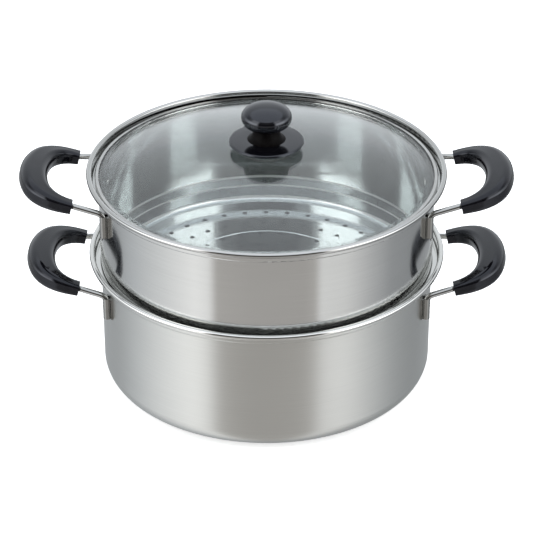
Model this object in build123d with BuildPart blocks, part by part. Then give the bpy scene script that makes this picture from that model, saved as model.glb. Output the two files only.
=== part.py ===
from build123d import *
from math import asin, atan, atan2, cos, degrees, pi, radians, sin, sqrt, tan
import os

os.makedirs("parts", exist_ok=True)

# A two-tier steamer: a pot, a steamer tier that nests on its rim, and a domed glass lid.
# Millimetres, +Z up. The origin is on the axis, in the plane that the pot's base stands on.
# The handles lie left and right along X, and the front is towards -Y.

# Sheet and the inner diameter that the pot and the steamer share
sheet = 0.6
inner_diameter = 279.4
inner_radius = inner_diameter / 2
outer_radius = inner_radius + sheet

# Rim, the same on both vessels: a ledge for what sits on it, a collar round that and a rolled bead
ledge_width = 5.7
ledge_bend = 1.5
collar_bend = 1.2
bead_radius = 2.3
bead_turn = 285
bead_above_ledge = 7.0
collar_radius = inner_radius + ledge_width

# Pot: the underside of its floor, its corner and the height of its bead above that underside
pot_corner = 14.9
pot_bead_height = 113.0

# Sandwich base: an aluminium disc under the floor, covered by a drawn steel cap
core_thickness = 2.9
core_diameter = 234.0
cap_sheet = 0.6
cap_corner = 1.5
cap_fit = 0.05
base_fit = 0.02
cap_radius = core_diameter / 2 + cap_fit + cap_sheet
pot_underside = cap_sheet + core_thickness + 2 * base_fit
pot_floor = pot_underside + sheet
pot_bead = pot_underside + pot_bead_height
pot_ledge = pot_bead - bead_above_ledge

# Steamer: a conical shoulder that seats on the pot's ledge, a tapered skirt and a perforated floor
shoulder_drop = 7.7
shoulder_inset = 2.9
shoulder_bend = 2.0
skirt_drop = 13.5
skirt_taper = 1.4
floor_corner = 4.0
seat_clearance = 0.3
steamer_height = 80.5

# Holes in the steamer's floor, in rings that all start on one line
hole_diameter = 4.4
hole_ring_radii_share = (0.086, 0.215, 0.358, 0.501, 0.644, 0.780)
hole_ring_counts = (6, 13, 20, 25, 32, 36)
hole_start_angle = 80.2

# Where the cone of the shoulder meets the rounded inner edge of the pot's ledge
shoulder_slope = atan(shoulder_inset / shoulder_drop)
bend_centre_radius = inner_radius + ledge_bend
bend_centre_height = pot_ledge - ledge_bend
shoulder_top = (
    bend_centre_height
    + (ledge_bend + seat_clearance - (bend_centre_radius - outer_radius) * cos(shoulder_slope))
    / sin(shoulder_slope)
)
shoulder_foot = shoulder_top - shoulder_drop
steamer_bead = shoulder_top + steamer_height
steamer_ledge = steamer_bead - bead_above_ledge
steamer_floor = shoulder_foot - skirt_drop + sheet
skirt_radius = inner_radius - shoulder_inset
floor_radius = skirt_radius - skirt_taper

# Lid: domed glass in a steel band, with a short skirt that keeps it central
lid_gap = 0.3
band_sheet = 0.4
band_clearance = 2.6
band_bend = 0.6
band_top_width = 3.0
band_skirt_gap = 1.1
band_skirt_depth = 6.0
glass_thickness = 3.5
glass_edge_gap = 0.2
glass_chamfer = 0.6
glass_margin = 3.8
glass_flare = 9.0
dome_rise = 23.1
glass_hole_diameter = 8.0
lid_base = steamer_ledge + lid_gap
band_radius = collar_radius - band_clearance
band_skirt_radius = inner_radius - band_skirt_gap
band_height = 2 * band_sheet + glass_thickness
glass_radius = band_radius - band_sheet - glass_edge_gap
glass_underside = lid_base + band_sheet
glass_top = glass_underside + glass_thickness + dome_rise

# Knob: a saucer-shaped base and a mushroom head, held by one screw from under the glass
gasket_thickness = 1.0
upper_gasket_diameter = 38.0
lower_gasket_diameter = 18.0
washer_diameter = 16.0
washer_thickness = 1.2
saucer_diameter = 62.2
saucer_edge = 4.0
saucer_foot_diameter = 40.0
saucer_foot_drop = 0.8
saucer_shoulder = 2.0
saucer_corner = 1.2
neck_diameter = 19.0
neck_height = 16.7
head_diameter = 42.0
head_half_height = 11.0
head_shoulder = 7.5
spigot_diameter = 12.0
spigot_depth = 4.0
spigot_fit = 0.05
insert_diameter = 8.0
insert_length = 15.0
insert_fit = 0.02
screw_diameter = 5.0
screw_length = 30.0
screw_head_diameter = 10.0
screw_head_height = 3.0
screw_fit = 0.05
screw_clearance = 0.25
knob_gasket_top = glass_top + gasket_thickness
saucer_top = knob_gasket_top + saucer_foot_drop + saucer_edge
neck_top = knob_gasket_top + neck_height

# Handles: a bent wire through a moulded grip, clamped to the wall by two riveted saddle plates
pot_handle_drop = 15.5
steamer_handle_drop = 12.7
wire_diameter = 5.0
wire_leg_spread = 104.0
wire_leg_length = 20.5
wire_leg_bend = 6.5
wire_tilt = 9.0
wire_wall_gap = 0.1
wire_fit = 0.05
wire_rise = 0.95
grip_bend = 26.0
pot_grip_reach = 156.8
steamer_grip_reach = 159.6
wire_corner_spread = 68.7
wire_radius = wire_diameter / 2
leg_y = wire_leg_spread / 2
leg_reach = outer_radius + wire_wall_gap + wire_radius
leg_x = sqrt(leg_reach**2 - leg_y**2)
leg_azimuth = degrees(atan2(leg_y, leg_x))

# Grip: the space between two rounded arches in a plane that tilts up and out
grip_tilt = 14.0
grip_inner_length = 23.4
grip_inner_width = 77.0
grip_outer_length = 46.5
grip_outer_width = 100.0
grip_squareness = 2.5
grip_end_height = 10.4
grip_middle_height = 18.0
grip_end_corner_share = 0.3
grip_middle_corner_share = 0.42
grip_stations_share = (-1.0, -0.9, -0.74, -0.5, -0.2, 0.2, 0.5, 0.74, 0.9, 1.0)

# Saddle plates, each with a groove over a leg and one riveted tab on the side of the other leg
plate_sheet = 0.9
plate_height = 19.0
plate_drop = 1.0
plate_lip = 2.0
plate_fit = 0.05
tab_radius = 5.0
rivet_reach = 14.0
rivet_drop = 16.5
rivet_shank_diameter = 4.0
rivet_head_diameter = 6.6
rivet_head_height = 1.8
rivet_inner_head_height = 1.0
rivet_fit = 0.03
cut_overrun = 1.0

# Heights of a handle's parts, measured from the level where the steamer's wire enters its grip
wire_slope = tan(radians(wire_tilt))
leg_top = wire_rise - (steamer_grip_reach - leg_x) * wire_slope
leg_foot = leg_top - wire_leg_length
plate_top = leg_top - plate_drop
rivet_level = plate_top - rivet_drop
rivet_angle = degrees(asin(rivet_reach / outer_radius))
handle_levels = {"pot": pot_bead - pot_handle_drop, "steamer": steamer_bead - steamer_handle_drop}
grip_reaches = {"pot": pot_grip_reach, "steamer": steamer_grip_reach}
sides = {"right": 0, "left": 180}


def finish(block, name):
    """Name a piece and write it."""
    block.part.label = name
    export_step(block.part, f"parts/{name}.step")


def radial_plane(azimuth, reach, height):
    """A plane whose normal points straight out from the axis."""
    out = Vector(1, 0, 0).rotate(Axis.Z, azimuth)
    return Plane(origin=out * reach + Vector(0, 0, height), x_dir=(0, 0, 1), z_dir=out)


def rivet_planes(height):
    """The outsides of a vessel's four rivet holes."""
    azimuth = leg_azimuth - rivet_angle
    return [
        radial_plane(handle + rivet, outer_radius, height)
        for handle in sides.values()
        for rivet in (-azimuth, azimuth)
    ]


def vessel_wall(inside_points, inside_radii, ledge, bead):
    """Draw a vessel's sheet, from the middle of its floor to the end of its rolled bead."""
    inside = FilletPolyline(
        *inside_points,
        (inner_radius, ledge),
        (collar_radius, ledge),
        (collar_radius, bead),
        radius=[*inside_radii, ledge_bend, collar_bend],
    )
    JernArc(inside @ 1, inside % 1, bead_radius, -bead_turn)
    offset(amount=sheet, side=Side.RIGHT)


def drill_rivet_holes(height):
    """Cut a vessel's rivet holes through its wall."""
    for plane in rivet_planes(height):
        with Locations(plane):
            Hole(rivet_shank_diameter / 2 + rivet_fit, depth=sheet + cut_overrun)


# Pot, drawn from one sheet: flat floor, rounded corner, straight wall and stepped rim
with BuildPart() as pot_body:
    with BuildSketch(Plane.XZ):
        with BuildLine():
            vessel_wall([(0, pot_floor), (inner_radius, pot_floor)], [pot_corner], pot_ledge, pot_bead)
        make_face()
    revolve(axis=Axis.Z)
    drill_rivet_holes(handle_levels["pot"] + rivet_level)
finish(pot_body, "pot_body")

# Aluminium core of the base, which spreads the heat
with BuildPart() as pot_base_core:
    with BuildSketch(Plane.XY.offset(cap_sheet + base_fit)):
        Circle(core_diameter / 2)
    extrude(amount=core_thickness)
    fillet(pot_base_core.edges().group_by(Axis.Z)[0], cap_corner - cap_sheet)
finish(pot_base_core, "pot_base_core")

# Steel cap pressed over the core
with BuildPart() as pot_base_cap:
    with BuildSketch(Plane.XZ):
        with BuildLine():
            FilletPolyline(
                (0, 0),
                (cap_radius, 0),
                (cap_radius, pot_underside - base_fit),
                radius=[cap_corner],
            )
            offset(amount=cap_sheet, side=Side.LEFT)
        make_face()
    revolve(axis=Axis.Z)
finish(pot_base_cap, "pot_base_cap")

# Steamer tier: the same wall and rim, a shoulder, a skirt inside the pot and a floor full of holes
with BuildPart() as steamer_body:
    with BuildSketch(Plane.XZ):
        with BuildLine():
            vessel_wall(
                [
                    (0, steamer_floor),
                    (floor_radius, steamer_floor),
                    (skirt_radius, shoulder_foot),
                    (inner_radius, shoulder_top),
                ],
                [floor_corner, shoulder_bend, shoulder_bend],
                steamer_ledge,
                steamer_bead,
            )
        make_face()
    revolve(axis=Axis.Z)
    with BuildSketch(Plane.XY.offset(steamer_floor - sheet - cut_overrun)):
        for ring_share, count in zip(hole_ring_radii_share, hole_ring_counts):
            with PolarLocations(inner_radius * ring_share, count, start_angle=hole_start_angle):
                Circle(hole_diameter / 2)
    extrude(amount=sheet + 2 * cut_overrun, mode=Mode.SUBTRACT)
    drill_rivet_holes(handle_levels["steamer"] + rivet_level)
finish(steamer_body, "steamer_body")

# Lid glass: a shallow dome that flares into a flat margin
dome_angle = 2 * atan(dome_rise / (glass_radius - glass_margin))
dome_radius = (glass_radius - glass_margin) / sin(dome_angle) - glass_flare
with BuildPart() as lid_glass:
    with BuildSketch(Plane.XZ) as glass_section:
        with BuildLine():
            dome = JernArc((0, glass_top), (1, 0), dome_radius, -degrees(dome_angle))
            flare = JernArc(dome @ 1, dome % 1, glass_flare, degrees(dome_angle))
            Line(flare @ 1, (glass_radius, glass_underside + glass_thickness))
            offset(amount=glass_thickness, side=Side.RIGHT)
        make_face()
        chamfer(glass_section.vertices().sort_by(Axis.X)[-2:], glass_chamfer)
    revolve(axis=Axis.Z)
    with Locations((0, 0, glass_top)):
        Hole(glass_hole_diameter / 2, depth=glass_thickness + cut_overrun)
finish(lid_glass, "lid_glass")

# Steel band rolled round the glass in small folds, with a skirt that drops inside the steamer
with BuildPart() as lid_band:
    with BuildSketch(Plane.XZ):
        with BuildLine():
            Polyline(
                (band_skirt_radius, lid_base - band_skirt_depth),
                (band_skirt_radius, lid_base - band_bend),
                (band_skirt_radius + band_bend, lid_base),
                (band_radius - band_bend, lid_base),
                (band_radius, lid_base + band_bend),
                (band_radius, lid_base + band_height - band_bend),
                (band_radius - band_bend, lid_base + band_height),
                (band_radius - band_top_width, lid_base + band_height),
            )
            offset(amount=band_sheet, side=Side.LEFT, kind=Kind.INTERSECTION)
        make_face()
    revolve(axis=Axis.Z)
finish(lid_band, "lid_band")

# Rubber gaskets above and below the glass, and the washer under the lower one, whose stack hangs
# from where the dome's underside meets the lower gasket's edge
under_dome = dome_radius - glass_thickness
dome_sag = under_dome - sqrt(under_dome**2 - (lower_gasket_diameter / 2) ** 2)
lower_gasket_base = glass_top - glass_thickness - dome_sag - gasket_thickness
screw_seat = lower_gasket_base - washer_thickness
stack = {
    "knob_gasket_upper": (upper_gasket_diameter, glass_top, gasket_thickness),
    "knob_gasket_lower": (lower_gasket_diameter, lower_gasket_base, gasket_thickness),
    "knob_washer": (washer_diameter, screw_seat, washer_thickness),
}
for ring_name, (ring_diameter, ring_base, ring_thickness) in stack.items():
    with BuildPart() as ring:
        with BuildSketch(Plane.XY.offset(ring_base)):
            Circle(ring_diameter / 2)
            Circle(screw_diameter / 2 + screw_clearance, mode=Mode.SUBTRACT)
        extrude(amount=ring_thickness)
    finish(ring, ring_name)

# Knob base: a saucer whose top sweeps up into the neck, counterbored for the head's spigot
with BuildPart() as knob_base:
    with BuildSketch(Plane.XZ):
        with BuildLine():
            foot = Line((0, knob_gasket_top), (saucer_foot_diameter / 2, knob_gasket_top))
            edge = FilletPolyline(
                foot @ 1,
                (saucer_diameter / 2, saucer_top - saucer_edge),
                (saucer_diameter / 2, saucer_top),
                (saucer_diameter / 2 - saucer_shoulder, saucer_top),
                radius=saucer_corner,
            )
            sweep_end = (neck_diameter / 2, neck_top - spigot_depth / 2)
            Bezier(
                edge @ 1,
                (sweep_end[0] + saucer_shoulder, saucer_top),
                (sweep_end[0], saucer_top + saucer_shoulder),
                sweep_end,
            )
            Polyline(sweep_end, (sweep_end[0], neck_top), (0, neck_top), (0, knob_gasket_top))
        make_face()
    revolve(axis=Axis.Z)
    with Locations((0, 0, neck_top)):
        CounterBoreHole(
            screw_diameter / 2 + screw_clearance,
            spigot_diameter / 2 + spigot_fit,
            spigot_depth + spigot_fit,
            depth=neck_height + cut_overrun,
        )
finish(knob_base, "knob_base")

# Knob head: an oval on a spigot, with one curve over its crown and the same under it, joined round
# its side by a tighter one, and bored for the threaded insert
crown_reach = head_diameter / 2 - head_shoulder
crown_radius = (crown_reach**2 + head_half_height**2 - head_shoulder**2) / (
    2 * (head_half_height - head_shoulder)
)
crown_start = degrees(asin((crown_radius - head_half_height) / (crown_radius - head_shoulder)))
neck_angle = degrees(asin(neck_diameter / 2 / crown_radius))
head_base = neck_top + spigot_fit
neck_sink = crown_radius - sqrt(crown_radius**2 - (neck_diameter / 2) ** 2)
head_middle = head_base + head_half_height - neck_sink
head_top = head_middle + head_half_height
bore_radius = insert_diameter / 2 + insert_fit
bore_top = neck_top - spigot_depth + insert_length + insert_fit
widest = (head_diameter / 2, head_middle)
with BuildPart() as knob_head:
    with BuildSketch(Plane.XZ):
        with BuildLine():
            under = JernArc(widest, (0, -1), head_shoulder, -crown_start)
            bottom = JernArc(under @ 1, under % 1, crown_radius, crown_start + neck_angle - 90)
            over = JernArc(widest, (0, 1), head_shoulder, crown_start)
            JernArc(over @ 1, over % 1, crown_radius, 90 - crown_start)
            Polyline(
                (0, head_top),
                (0, bore_top),
                (bore_radius, bore_top),
                (bore_radius, neck_top - spigot_depth),
                (spigot_diameter / 2, neck_top - spigot_depth),
                (spigot_diameter / 2, head_base),
                bottom @ 1,
            )
        make_face()
    revolve(axis=Axis.Z)
finish(knob_head, "knob_head")

# Threaded insert in the head, blind at its upper end
with BuildPart() as knob_insert:
    with BuildSketch(Plane.XY.offset(neck_top - spigot_depth)):
        Circle(insert_diameter / 2)
    extrude(amount=insert_length)
    with Locations(Plane((0, 0, neck_top - spigot_depth), z_dir=(0, 0, -1))):
        Hole(screw_diameter / 2 + screw_fit, depth=insert_length - screw_clearance)
finish(knob_insert, "knob_insert")

# Screw from under the glass, through washer, gaskets, glass and base into the insert
with BuildPart() as knob_screw:
    with BuildSketch(Plane.XY.offset(screw_seat - screw_head_height)):
        Circle(screw_head_diameter / 2)
    extrude(amount=screw_head_height)
    fillet(knob_screw.edges().group_by(Axis.Z)[0], screw_head_height / 2)
    with BuildSketch(Plane.XY.offset(screw_seat)):
        Circle(screw_diameter / 2)
    extrude(amount=screw_length)
    chamfer(knob_screw.edges().group_by(Axis.Z)[-1], screw_diameter / 8)
finish(knob_screw, "knob_screw")

# A handle's wire: up one leg, out through the grip and back down the other leg
def wire_sweep(reach, radius):
    """A right handle's wire, or the way cleared for it, with a grip that far from the axis."""
    corner_reach = reach + grip_outer_length - grip_bend / 2
    corner_y = wire_corner_spread / 2
    corner_z = leg_top + (corner_reach - leg_x) * wire_slope
    with BuildPart() as swept:
        with BuildLine() as path:
            FilletPolyline(
                (leg_x, -leg_y, leg_foot),
                (leg_x, -leg_y, leg_top),
                (corner_reach, -corner_y, corner_z),
                (corner_reach, corner_y, corner_z),
                (leg_x, leg_y, leg_top),
                (leg_x, leg_y, leg_foot),
                radius=[wire_leg_bend, grip_bend, grip_bend, wire_leg_bend],
            )
        with BuildSketch(Plane((leg_x, -leg_y, leg_foot))):
            Circle(radius)
        sweep(path=path.wires()[0])
    return swept.part


# Grip: lofted from rounded sections between the inner and the outer arch, and bored for the wire
def arch_point(length, width, share):
    """A point of an arch that bulges out from the line between its two ends."""
    across = abs(share) ** grip_squareness
    return Vector(length * (1 - across) ** (1 / grip_squareness), width / 2 * share)


def grip_section(station, reach):
    """Plane, width, height and corner of the grip's section, at a share of a quarter turn."""
    turn = station * pi / 2
    side = 1 if station > 0 else -1
    share = side * abs(sin(turn)) ** (2 / grip_squareness)
    inner = arch_point(grip_inner_length, grip_inner_width, share)
    outer = arch_point(grip_outer_length, grip_outer_width, share)
    middle = (inner + outer) / 2
    span = outer - inner
    swell = cos(turn) ** (2 / grip_squareness)
    height = grip_end_height + (grip_middle_height - grip_end_height) * swell
    corner = grip_end_corner_share + (grip_middle_corner_share - grip_end_corner_share) * swell
    tilted = Plane((reach, 0, 0), x_dir=(1, 0, 0), z_dir=(0, 0, 1)).rotated((0, -grip_tilt, 0))
    direction = tilted.from_local_coords(span) - tilted.origin
    plane = Plane(
        tilted.from_local_coords(middle),
        x_dir=direction,
        z_dir=direction.cross(tilted.z_dir),
    )
    return plane, span.length, height, height * corner


# Wires and grips of the right handles, those of the pot reaching a little less far
wires = {}
grips = {}
for tier, reach in grip_reaches.items():
    wires[tier] = wire_sweep(reach, wire_radius)
    with BuildPart() as handle_grip:
        for station in grip_stations_share:
            section_plane, section_width, section_height, section_corner = grip_section(station, reach)
            with BuildSketch(section_plane):
                RectangleRounded(section_width, section_height, section_corner)
        loft()
        add(wire_sweep(reach, wire_radius + wire_fit), mode=Mode.SUBTRACT)
    grips[tier] = handle_grip.part

# Saddle plate of a right handle's front leg: a groove over the leg, a lip on one side of it and on
# the other, towards the handle's middle, a tab that narrows to the rivet, all following the wall
plate_inner = outer_radius + plate_fit
plate_outer = plate_inner + plate_sheet
groove_radius = wire_radius + wire_fit
plate_width = 2 * (groove_radius + plate_sheet + plate_lip)
with BuildPart() as front_plate:
    with BuildSketch(Plane.XY.offset(leg_foot - cut_overrun).rotated((0, 0, -leg_azimuth))):
        Circle(plate_outer)
        with Locations((leg_reach, 0)):
            Circle(groove_radius + plate_sheet)
            Rectangle(
                leg_reach,
                wire_diameter,
                align=(Align.MAX, Align.CENTER),
                mode=Mode.SUBTRACT,
            )
        Circle(plate_inner, mode=Mode.SUBTRACT)
    extrude(amount=wire_leg_length + cut_overrun)
    with BuildSketch(radial_plane(-leg_azimuth, 0, 0)):
        with Locations((plate_top - plate_height / 2, 0)):
            Rectangle(plate_height, plate_width)
        with Locations((rivet_level, -rivet_reach)):
            Circle(tab_radius)
        make_hull()
    extrude(amount=leg_reach + wire_diameter, mode=Mode.INTERSECT)
    with Locations(radial_plane(rivet_angle - leg_azimuth, plate_outer, rivet_level)):
        Hole(rivet_shank_diameter / 2 + rivet_fit, depth=plate_sheet + cut_overrun)
    add(wire_sweep(steamer_grip_reach, groove_radius), mode=Mode.SUBTRACT)

with BuildPart() as back_plate:
    mirror(front_plate.part, about=Plane.XZ)

# Rivet: domed head outside, flat head inside, its axis along Z and its origin at the wall's outside
with BuildPart() as rivet:
    head_seat = plate_fit + plate_sheet
    inner_seat = -sheet - plate_fit
    with BuildSketch(Plane.XZ):
        with BuildLine():
            Polyline(
                (0, head_seat + rivet_head_height),
                (0, inner_seat - rivet_inner_head_height),
                (rivet_head_diameter / 2 - rivet_inner_head_height, inner_seat - rivet_inner_head_height),
                (rivet_head_diameter / 2, inner_seat),
                (rivet_shank_diameter / 2, inner_seat),
                (rivet_shank_diameter / 2, head_seat),
                (rivet_head_diameter / 2, head_seat),
            )
            rise = rivet_head_height
            dome_curve = ((rivet_head_diameter / 2) ** 2 + rise**2) / (2 * rise)
            RadiusArc((rivet_head_diameter / 2, head_seat), (0, head_seat + rise), -dome_curve)
        make_face()
    revolve(axis=Axis.Z)

# Four handles: one on each side of the pot and of the steamer
for tier, level in handle_levels.items():
    for side_name, turn in sides.items():
        near, far = ("front", "back") if turn == 0 else ("back", "front")
        pieces = {
            "wire": wires[tier],
            "grip": grips[tier],
            f"plate_{near}": front_plate.part,
            f"plate_{far}": back_plate.part,
        }
        for piece_name, piece in pieces.items():
            with BuildPart() as placed:
                with Locations(Location((0, 0, level), (0, 0, turn))):
                    add(piece)
            finish(placed, f"{tier}_{side_name}_{piece_name}")

# Four rivets to a vessel
for tier, level in handle_levels.items():
    with BuildPart() as rivets:
        for plane in rivet_planes(level + rivet_level):
            with Locations(plane):
                add(rivet.part)
    finish(rivets, f"{tier}_rivets")
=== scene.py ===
import bmesh
import bpy
from math import cos, pi, sin
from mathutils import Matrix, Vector


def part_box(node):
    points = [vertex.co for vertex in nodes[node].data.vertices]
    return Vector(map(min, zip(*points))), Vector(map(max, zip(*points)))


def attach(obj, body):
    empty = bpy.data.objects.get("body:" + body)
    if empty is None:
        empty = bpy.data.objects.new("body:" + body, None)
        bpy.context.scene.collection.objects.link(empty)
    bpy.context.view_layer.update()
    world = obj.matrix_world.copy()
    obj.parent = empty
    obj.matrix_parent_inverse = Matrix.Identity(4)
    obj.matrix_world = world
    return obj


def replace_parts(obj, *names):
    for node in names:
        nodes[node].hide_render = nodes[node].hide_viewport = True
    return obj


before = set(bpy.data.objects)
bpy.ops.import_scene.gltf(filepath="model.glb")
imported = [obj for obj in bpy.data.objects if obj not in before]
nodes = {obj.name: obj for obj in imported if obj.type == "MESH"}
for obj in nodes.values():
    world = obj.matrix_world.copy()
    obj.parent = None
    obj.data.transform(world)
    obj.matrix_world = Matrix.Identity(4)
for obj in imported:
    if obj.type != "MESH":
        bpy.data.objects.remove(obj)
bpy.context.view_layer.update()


# The pot is deep drawn from one sheet of stainless steel. Its rim steps out to a ledge and a
# collar and ends in a rolled bead, and its outside wall is brushed round and round to a satin,
# while the inside, the ledge, the collar and the bead stay polished.
class Signal:
    """A socket of a node tree, so that sums on what it carries are written as sums."""

    def __init__(self, tree, socket=None):
        self.tree = tree
        self.socket = socket

    def node(self, kind, settings, links, output=0):
        """Add a node: its settings first, then the values or links of its sockets."""
        made = self.tree.nodes.new("ShaderNode" + kind)
        for key, value in settings.items():
            if key == "stops":
                for at, colour in value[1:-1]:
                    made.color_ramp.elements.new(at).color = colour
                for end, (at, colour) in ((0, value[0]), (-1, value[-1])):
                    made.color_ramp.elements[end].position = at
                    made.color_ramp.elements[end].color = colour
            else:
                setattr(made, key, value)
        for key, value in links.items():
            if isinstance(value, Signal):
                self.tree.links.new(value.socket, made.inputs[key])
            else:
                made.inputs[key].default_value = value
        return Signal(self.tree, made.outputs[output])

    def math(self, operation, *others):
        """Work out a Math node's operation on this socket and others."""
        return self.node("Math", {"operation": operation}, dict(enumerate((self, *others))))

    def swapped(self, operation, other):
        """Work out a Math node's operation with this socket as its second value."""
        return self.node("Math", {"operation": operation}, {0: other, 1: self})

    def __add__(self, other):
        return self.math("ADD", other)

    __radd__ = __add__

    def __sub__(self, other):
        return self.math("SUBTRACT", other)

    def __rsub__(self, other):
        return self.swapped("SUBTRACT", other)

    def __mul__(self, other):
        return self.math("MULTIPLY", other)

    __rmul__ = __mul__

    def __truediv__(self, other):
        return self.math("DIVIDE", other)

    def __rtruediv__(self, other):
        return self.swapped("DIVIDE", other)

    def ramp(self, low, high):
        """0 below one value, 1 above the other, and a smooth rise between them."""
        smooth = {"interpolation_type": "SMOOTHSTEP"}
        return self.node("MapRange", smooth, {"Value": self, "From Min": low, "From Max": high})

    def mix(self, colour, other):
        """Go from one colour to another as this socket goes from 0 to 1."""
        return self.node("Mix", {"data_type": "RGBA"}, {0: self, 6: colour, 7: other}, 2)

    def bump(self, strength, distance):
        """The normal of a surface that this socket raises by up to a distance."""
        links = {"Strength": strength, "Distance": distance, "Height": self}
        return self.node("Bump", {}, links)

    def parts(self):
        """The three numbers of the vector that this socket carries."""
        split = self.node("SeparateXYZ", {}, {0: self}).socket.node
        return [Signal(self.tree, number) for number in split.outputs]


def start_material(name, constants):
    """Make a material, with constants on its shader's sockets, and give its tree's parts."""
    material = bpy.data.materials.new(name)
    material.use_nodes = True
    shader = material.node_tree.nodes["Principled BSDF"]
    for socket, value in constants.items():
        shader.inputs[socket].default_value = value
    return material, shader, Signal(material.node_tree)


def feed(shader, signals):
    """Link signals to a shader's sockets."""
    for socket, signal in signals.items():
        signal.tree.links.new(signal.socket, shader.inputs[socket])


def place(tree):
    """Where a point lies on its piece, in metres."""
    return tree.node("TexCoord", {}, {}, "Object")


def grain(whole, scale, detail=2.0, roughness=0.5):
    """Noise stretched by a scale of its own along each axis."""
    stretched = whole.node("VectorMath", {"operation": "MULTIPLY"}, {0: whole, 1: scale})
    links = {"Vector": stretched, "Scale": 1.0, "Detail": detail, "Roughness": roughness}
    return whole.node("TexNoise", {}, links, 0)


def shades(colour, dull, pale):
    """A darker and a lighter shade of a colour."""
    return ([part * share for part in colour] + [1.0] for share in (dull, pale))


def dress(material, *names):
    """Give CAD nodes a material."""
    for name in names:
        nodes[name].data.materials.clear()
        nodes[name].data.materials.append(material)


def vessel_steel(
    name,
    outer_colour,
    inner_colour,
    rim_colour,
    rim_height,
    brushing,
    roughness,
    anisotropy,
    painted_highlight_bends=(),
):
    """Two finishes of one sheet: brushed round the outside, polished inside and over the rim."""
    material, polished, tree = start_material(name, {"IOR": 1.45})
    whole = place(tree)
    x, y, z = whole.parts()
    radius = (x * x + y * y).math("SQRT")
    lines = grain(whole, (14.0, 14.0, 2600.0), 3.0, 0.6)
    smudge = grain(whole, (9.0, 9.0, 14.0), 2.0)
    waves = grain(whole, (16.0, 16.0, 16.0), 1.0)

    patches = (lines * 0.6 + smudge * 0.4).ramp(0.35, 0.65)
    brushed = tree.node(
        "BsdfPrincipled",
        {},
        {
            "Metallic": 1.0,
            "Anisotropic": anisotropy,
            "Anisotropic Rotation": 0.25,
            "Base Color": patches.mix(*shades(outer_colour, 0.96, 1.02)),
            "Roughness": roughness - 0.02 + lines * 0.02 + smudge * 0.02,
            "Normal": lines.bump(brushing, 0.00002),
        },
    )

    # Painted highlights: pale, less metallic lines at the given heights along the inside bends.
    painted_highlight_colour = (0.88, 0.9, 0.89, 1)
    inner = smudge.ramp(0.3, 0.7).mix(*shades(inner_colour, 0.96, 1.02))
    painted_shine = 0.0
    for height, reach in painted_highlight_bends:
        painted_line = 1 - (z - height).math("ABSOLUTE").ramp(reach * 0.4, reach)
        inner = painted_line.mix(inner, painted_highlight_colour)
        painted_shine = painted_line.math("MAXIMUM", painted_shine)
    collar_foot, collar_top = rim_height - 0.012, rim_height - 0.008
    below_rim = 1 - z.ramp(collar_foot, collar_top)
    feed(
        polished,
        {
            "Base Color": below_rim.mix(rim_colour, inner),
            "Metallic": 1 - below_rim * 0.1 - painted_shine * 0.6,
            "Roughness": 0.05 + smudge * 0.04 + below_rim * 0.03,
            "Normal": waves.bump(0.5, 0.0003),
        },
    )

    out_x, out_y = tree.node("TexCoord", {}, {}, "Normal").parts()[:2]
    outward = (x * out_x + y * out_y) / radius
    bead_foot, bead_middle = rim_height - 0.0052, rim_height - 0.0046
    outside = outward.ramp(0.05, 0.2) * (1 - z.ramp(bead_foot, bead_middle))
    inside = Signal(tree.tree, polished.outputs[0])
    look = tree.node("MixShader", {}, {0: outside, 1: inside, 2: brushed})
    feed(material.node_tree.nodes["Material Output"], {"Surface": look})
    return material


pot_steel = vessel_steel(
    "pot steel",
    outer_colour=(0.655, 0.66, 0.64),
    inner_colour=(0.5, 0.51, 0.505),
    rim_colour=(0.7, 0.7, 0.68, 1),
    rim_height=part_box("pot_body")[1][2],
    brushing=0.1,
    roughness=0.30,
    anisotropy=0.75,
)
dress(pot_steel, "pot_body")


# The sandwich base is a disc of aluminium that spreads the heat, brazed under the floor and
# covered by a thin drawn cap of polished steel, the only part of the pot that meets the hob.
def brushed_metal(name, colour, roughness, anisotropy):
    """Metal turned or brushed round the axis, with faint smudges."""
    constants = {"Metallic": 1.0, "Anisotropic": anisotropy, "Anisotropic Rotation": 0.25}
    material, shader, tree = start_material(name, constants)
    whole = place(tree)
    x, y, z = whole.parts()
    radius = (x * x + y * y).math("SQRT")
    rings = grain(tree.node("CombineXYZ", {}, {0: radius, 1: z}), (2200.0, 600.0, 1.0), 2.0)
    smudge = grain(whole, (20.0, 20.0, 20.0), 2.0)
    patches = (rings * 0.5 + smudge * 0.5).ramp(0.35, 0.65)
    feed(
        shader,
        {
            "Base Color": patches.mix(*shades(colour, 0.92, 1.04)),
            "Roughness": roughness - 0.04 + rings * 0.05 + smudge * 0.04,
            "Normal": rings.bump(0.2, 0.00003),
        },
    )
    return material


cap_steel = brushed_metal("base cap steel", (0.72, 0.72, 0.71), roughness=0.24, anisotropy=0.5)
dress(cap_steel, "pot_base_cap")
core_aluminium = brushed_metal(
    "base core aluminium", (0.8, 0.8, 0.81), roughness=0.35, anisotropy=0.2
)
dress(core_aluminium, "pot_base_core")


# The steamer tier is drawn from the same sheet and polished bright inside and out. Its shoulder
# seats on the pot's ledge, and its floor is punched with rings of holes round a pressed circle.
# Inside, pale lines are painted along its bends by height, as painted highlights where the bends
# would catch the light.
steamer_foot, steamer_rim = (corner[2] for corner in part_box("steamer_body"))
shoulder_top = steamer_foot + 0.0212
shoulder_foot = steamer_foot + 0.0135
floor_corner = steamer_foot + 0.003
steamer_steel = vessel_steel(
    "steamer steel",
    outer_colour=(0.65, 0.655, 0.645),
    inner_colour=(0.54, 0.565, 0.565),
    rim_colour=(0.5, 0.5, 0.49, 1),
    rim_height=steamer_rim,
    brushing=0.05,
    roughness=0.13,
    anisotropy=0.6,
    painted_highlight_bends=((shoulder_top, 0.0015), (shoulder_foot, 0.0011), (floor_corner, 0.0016)),
)
dress(steamer_steel, "steamer_body")


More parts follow.
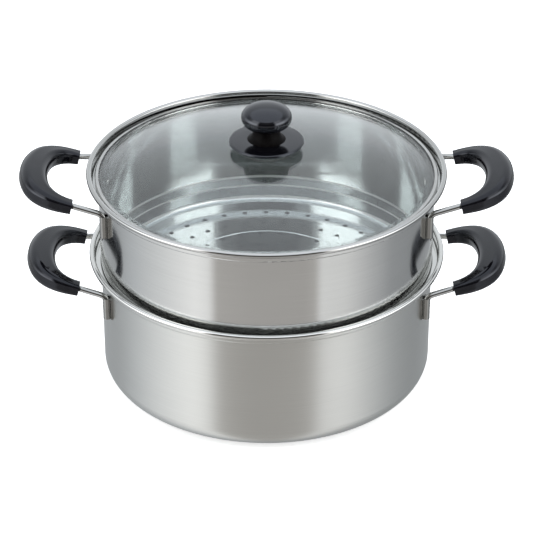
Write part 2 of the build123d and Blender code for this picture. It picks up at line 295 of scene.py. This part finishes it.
def turned(name, profile, body, material, steps=128):
    """A solid of revolution from the points of half its section, riding on a CAD body."""
    mesh = bmesh.new()
    rings = []
    for r, z in profile:
        if r == 0:
            rings.append([mesh.verts.new((0, 0, z))] * steps)
        else:
            angles = (2 * pi * step / steps for step in range(steps))
            rings.append([mesh.verts.new((r * cos(a), r * sin(a), z)) for a in angles])
    for low, high in zip(rings, rings[1:] + rings[:1]):
        for step in range(steps):
            after = (step + 1) % steps
            corners = dict.fromkeys((low[step], low[after], high[after], high[step]))
            if len(corners) > 2:
                mesh.faces.new(corners).smooth = True
    data = bpy.data.meshes.new(name)
    mesh.to_mesh(data)
    mesh.free()
    data.materials.append(material)
    piece = bpy.data.objects.new(name, data)
    bpy.context.scene.collection.objects.link(piece)
    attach(piece, body)
    return piece


def shares(steps):
    """Even shares from 0 to 1."""
    return [step / steps for step in range(steps + 1)]


sheet_thickness = 0.0006
ridge_radius = 0.0745
ridge_half_width = 0.0011
ridge_rise = 0.0005
ridge_foot = steamer_foot + sheet_thickness - 0.0001
ridge = [
    (ridge_radius + ridge_half_width * cos(turn), ridge_foot + ridge_rise * sin(turn))
    for turn in (share * pi for share in shares(12))
]
turned("pressed_floor_circle", ridge, "steamer", steamer_steel)


# The handles' wires are bent from bright steel rod and held to the walls by pressed saddle plates,
# each with one domed rivet through the wall.
def bright_metal(name, colour, roughness):
    """Polished metal with faint rubbing marks."""
    material, shader, tree = start_material(name, {"Metallic": 1.0})
    rubbed = grain(place(tree), (90.0, 90.0, 90.0), 3.0)
    feed(
        shader,
        {
            "Base Color": rubbed.ramp(0.3, 0.7).mix(*shades(colour, 0.94, 1.04)),
            "Roughness": roughness + rubbed * 0.06,
        },
    )
    return material


wire_steel = bright_metal("handle wire steel", (0.42, 0.42, 0.41), roughness=0.06)
plate_steel = bright_metal("saddle plate steel", (0.34, 0.34, 0.33), roughness=0.1)
tiers = ("pot", "steamer")
sides = ("left", "right")
for tier in tiers:
    dress(plate_steel, f"{tier}_rivets")
    for side in sides:
        dress(wire_steel, f"{tier}_{side}_wire")
        dress(plate_steel, f"{tier}_{side}_plate_front", f"{tier}_{side}_plate_back")


# The grips are black phenolic loops moulded over the wires, thick in the middle and tapering to
# their two ends, and buffed to a gloss.
def black_plastic(name, ior):
    """Buffed black phenolic with faint rubbing marks and slow waves in its surface."""
    constants = {"IOR": ior, "Specular Tint": (0.86, 0.9, 1.0, 1.0)}
    material, shader, tree = start_material(name, constants)
    whole = place(tree)
    rubbed = grain(whole, (140.0, 140.0, 140.0), 3.0)
    waves = grain(whole, (35.0, 35.0, 35.0), 1.0)
    black, worn_black = (0.0015, 0.0015, 0.0022, 1), (0.003, 0.003, 0.0042, 1)
    feed(
        shader,
        {
            "Base Color": rubbed.ramp(0.3, 0.7).mix(black, worn_black),
            "Roughness": 0.03 + rubbed * 0.05,
            "Normal": waves.bump(0.2, 0.0004),
        },
    )
    return material


grip_plastic = black_plastic("grip plastic", ior=1.46)
for tier in tiers:
    for side in sides:
        dress(grip_plastic, f"{tier}_{side}_grip")


# The knob is moulded in two pieces of the same phenolic: a saucer with a round edge that rises
# to a neck, and a flattened head with full sides that is screwed on to it. The neck, hidden
# under the head, is a matt flare.
knob_plastic = black_plastic("knob plastic", ior=1.62)
gasket_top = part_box("knob_gasket_upper")[1][2]
saucer_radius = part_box("knob_base")[1][0]
saucer_foot_radius = 0.019
rim_low = gasket_top + 0.0026
rim_high = gasket_top + 0.0055
edge_radius = (rim_high - rim_low) / 2
dish_radius = saucer_radius - edge_radius
neck_radius = 0.0105
neck_spread = 0.0172
neck_foot = gasket_top + 0.0062
neck_low = neck_foot - 0.0002
head_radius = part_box("knob_head")[1][0]
head_middle = 0.2385
head_half_height = 0.0113
head_fullness = 2 / 2.15
neck_height = head_middle - head_half_height * 0.8 - neck_foot
dish_width = dish_radius - neck_spread + 0.001

saucer = [(0, gasket_top), (saucer_foot_radius, gasket_top)]
for turn in (share * pi - pi / 2 for share in shares(16)):
    saucer.append((dish_radius + edge_radius * cos(turn), rim_low + edge_radius * (1 + sin(turn))))
for share in shares(16)[1:]:
    dish_height = rim_high + (neck_foot - rim_high) * (1 - (1 - share) ** 2)
    saucer.append((dish_radius - dish_width * share, dish_height))
saucer.append((0, neck_foot))
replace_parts(turned("knob_saucer", saucer, "lid", knob_plastic), "knob_base")

neck_constants = {"IOR": 1.46, "Specular IOR Level": 0.06}
neck_plastic, neck_shader, neck_tree = start_material("knob neck plastic", neck_constants)
neck_specks = grain(place(neck_tree), (400.0, 400.0, 400.0), 3.0)
neck_black, neck_dust = (0.0015, 0.001, 0.001, 1), (0.0035, 0.003, 0.003, 1)
feed(
    neck_shader,
    {
        "Base Color": neck_specks.ramp(0.3, 0.7).mix(neck_black, neck_dust),
        "Roughness": 0.4 + neck_specks * 0.2,
    },
)
neck = [(0, neck_low)]
for turn in (share * pi / 2 for share in shares(16)):
    flare = neck_spread - (neck_spread - neck_radius) * sin(turn)
    neck.append((flare, neck_low + neck_height * (1 - cos(turn))))
neck.append((0, neck_foot + neck_height))
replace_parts(turned("knob_neck", neck, "lid", neck_plastic), "knob_base")

head = [(0, head_middle - head_half_height)]
for turn in (share * pi - pi / 2 for share in shares(48)[1:-1]):
    half = head_half_height if turn > 0 else -head_half_height
    head_width = head_radius * cos(turn) ** head_fullness
    head.append((head_width, head_middle + half * abs(sin(turn)) ** head_fullness))
head.append((0, head_middle + head_half_height))
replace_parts(turned("knob_mushroom", head, "lid", knob_plastic), "knob_head")


# The lid is a shallow dome of clear tempered glass, pressed and faintly green. It flares to a
# flat margin at its edge and has a hole in its middle for the knob's screw.
glass_constants = {"Transmission Weight": 1.0, "IOR": 1.5, "Roughness": 0.0}
lid_glass, glass_shader, glass_tree = start_material("lid tempered glass", glass_constants)
glass_waves = grain(place(glass_tree), (12.0, 12.0, 12.0), 2.0)
glass_green, glass_clear = (0.95, 0.975, 0.97, 1), (0.965, 0.985, 0.98, 1)
feed(
    glass_shader,
    {
        "Base Color": glass_waves.ramp(0.3, 0.7).mix(glass_green, glass_clear),
        "Normal": glass_waves.bump(0.1, 0.0002),
    },
)
dress(lid_glass, "lid_glass")


# The lid's band is a thin strip of polished steel, rolled round the glass's edge. Its skirt drops
# inside the steamer's rim and keeps the lid in place.
band_steel = bright_metal("lid band steel", (0.52, 0.52, 0.51), roughness=0.07)
dress(band_steel, "lid_band")


# A steel screw and washer hold the knob from under the glass, in a brass insert moulded into the
# knob's head. A grey silicone gasket lies on each side of the glass.
screw_steel = bright_metal("knob screw steel", (0.7, 0.7, 0.69), roughness=0.2)
dress(screw_steel, "knob_screw", "knob_washer")
insert_brass = bright_metal("knob insert brass", (0.75, 0.6, 0.3), roughness=0.25)
dress(insert_brass, "knob_insert")
silicone, silicone_shader, silicone_tree = start_material("gasket silicone", {"Roughness": 0.6})
silicone_specks = grain(place(silicone_tree), (300.0, 300.0, 300.0), 3.0)
silicone_colour = silicone_specks.mix((0.42, 0.42, 0.41, 1), (0.5, 0.5, 0.49, 1))
feed(silicone_shader, {"Base Color": silicone_colour})
dress(silicone, "knob_gasket_upper", "knob_gasket_lower")


# The set stands on a white table in a studio. Lamps at both sides and overhead light it softly.
# What its steel and plastic mirror is the room: grey levels that change with the bearing and
# the height, with a dark gap at the camera's side that shows as the grey stripe down the front.
def panel_light(name, spot, width, height, strength):
    """A soft rectangular lamp that is turned to the set and isn't mirrored in it."""
    lamp = bpy.data.lights.new(name, "AREA")
    lamp.shape = "RECTANGLE"
    lamp.size = width
    lamp.size_y = height
    lamp.energy = strength
    holder = bpy.data.objects.new(name, lamp)
    holder.location = spot
    aim = Vector((0, 0, 0.1)) - holder.location
    holder.rotation_euler = aim.to_track_quat("-Z", "Y").to_euler()
    holder.visible_glossy = False
    bpy.context.scene.collection.objects.link(holder)
    return holder


panel_light("left panel", (-1.5, -0.9, 1.3), width=1.2, height=1.4, strength=10)
panel_light("right panel", (1.5, -0.9, 1.3), width=1.2, height=1.4, strength=10)
overhead = panel_light("top panel", (0, 0.3, 2.0), width=1.6, height=1.2, strength=14)
overhead.visible_transmission = False

world = bpy.data.worlds.new("studio")
world.use_nodes = True
bpy.context.scene.world = world
air = Signal(world.node_tree)
east, north, up = air.node("TexCoord", {}, {}, "Generated").parts()
bearing = east.math("ARCTAN2", north * -1.0) / (2 * pi) + 0.5


side_degrees, back_degrees, gap_degrees = 60, 100, 36
cool_tint, warm_tint = 0.04, 0.033


def round_room(levels):
    """Grey levels by degrees left or right of the camera's side, cool behind and warm in front."""
    stops = []
    for degrees, level in levels:
        behind = (abs(degrees) - side_degrees) / (back_degrees - side_degrees)
        cool = cool_tint * min(max(behind, 0), 1)
        if abs(degrees) <= gap_degrees:
            cool -= warm_tint
        shade = (level * (1 - cool), level, level * (1 + cool), 1)
        stops.append(((degrees + 180) / 360, shade))
    return air.node("ValToRGB", {"stops": stops}, {"Fac": bearing})


low_room = round_room(
    (
        (-180, 0.46),
        (-125, 0.46),
        (-104, 0.64),
        (-75, 0.88),
        (-50, 1.13),
        (-40, 1.04),
        (-34, 0.53),
        (-10, 0.49),
        (26, 0.49),
        (33, 0.54),
        (38, 0.92),
        (55, 0.86),
        (75, 0.60),
        (95, 0.40),
        (120, 0.34),
        (180, 0.46),
    )
)
eye_room = round_room(
    (
        (-180, 1.1),
        (-140, 1.0),
        (-118, 0.8),
        (-92, 2.0),
        (-76, 3.6),
        (-46, 3.6),
        (-34, 0.02),
        (34, 0.02),
        (46, 3.6),
        (76, 3.6),
        (92, 2.0),
        (118, 0.8),
        (140, 1.0),
        (180, 1.1),
    )
)
high_room = round_room(
    (
        (-180, 0.95),
        (-130, 0.85),
        (-100, 0.45),
        (-80, 1.0),
        (-66, 2.2),
        (-42, 2.2),
        (-33, 0.17),
        (33, 0.17),
        (42, 1.8),
        (66, 1.8),
        (80, 1.0),
        (100, 0.45),
        (130, 0.85),
        (180, 0.95),
    )
)
ceiling = (1.22, 1.28, 1.36, 1)
low_to_eye = up.ramp(-0.14, 0.0)
eye_to_high = up.ramp(0.2, 0.42)
high_to_ceiling = up.ramp(0.6, 0.74)
lower_room = low_to_eye.mix(low_room, eye_room)
room = eye_to_high.mix(lower_room, high_to_ceiling.mix(high_room, ceiling))

camera_ray, clear_ray, mirrored_times = (
    air.node("LightPath", {}, {}, name)
    for name in ("Is Camera Ray", "Is Transmission Ray", "Glossy Depth")
)
never_mirrored = 1 - mirrored_times.math("MINIMUM", 1.0)
sees_white = camera_ray.math("MAXIMUM", clear_ray * never_mirrored)
feed(world.node_tree.nodes["Background"], {"Color": sees_white.mix(room, (1, 1, 1, 1))})

bpy.ops.mesh.primitive_circle_add(vertices=96, radius=6.0, fill_type="NGON")
floor = bpy.context.object
floor.name = "table"
table_constants = {
    "Base Color": (0.85, 0.85, 0.85, 1),
    "Roughness": 0.9,
    "Emission Color": (1, 1, 1, 1),
    "Emission Strength": 0.5,
}
white, white_shader, white_tree = start_material("white table", table_constants)
table_top = Signal(white.node_tree, white_shader.outputs[0])
see_through = white_tree.node("BsdfTransparent", {}, {})
mirrored = white_tree.node("LightPath", {}, {}, "Glossy Depth").math("MINIMUM", 1.0)
table_look = white_tree.node("MixShader", {}, {0: mirrored, 1: table_top, 2: see_through})
feed(white.node_tree.nodes["Material Output"], {"Surface": table_look})
floor.data.materials.append(white)


# The camera stands 1.9 m away at the front, about a metre above the table, and looks down on
# the set with a long lens.
camera = bpy.data.objects.new("camera", bpy.data.cameras.new("camera"))
bpy.context.scene.collection.objects.link(camera)
camera.location = (0.0, -1.6449, 1.0438)
camera_aim = Vector((0, 0, 0.0969)) - camera.location
camera.rotation_euler = camera_aim.to_track_quat("-Z", "Y").to_euler()
camera.data.lens = 150.2
camera.data.sensor_width = 36.0
bpy.context.scene.camera = camera
bpy.context.scene.view_settings.view_transform = "Standard"
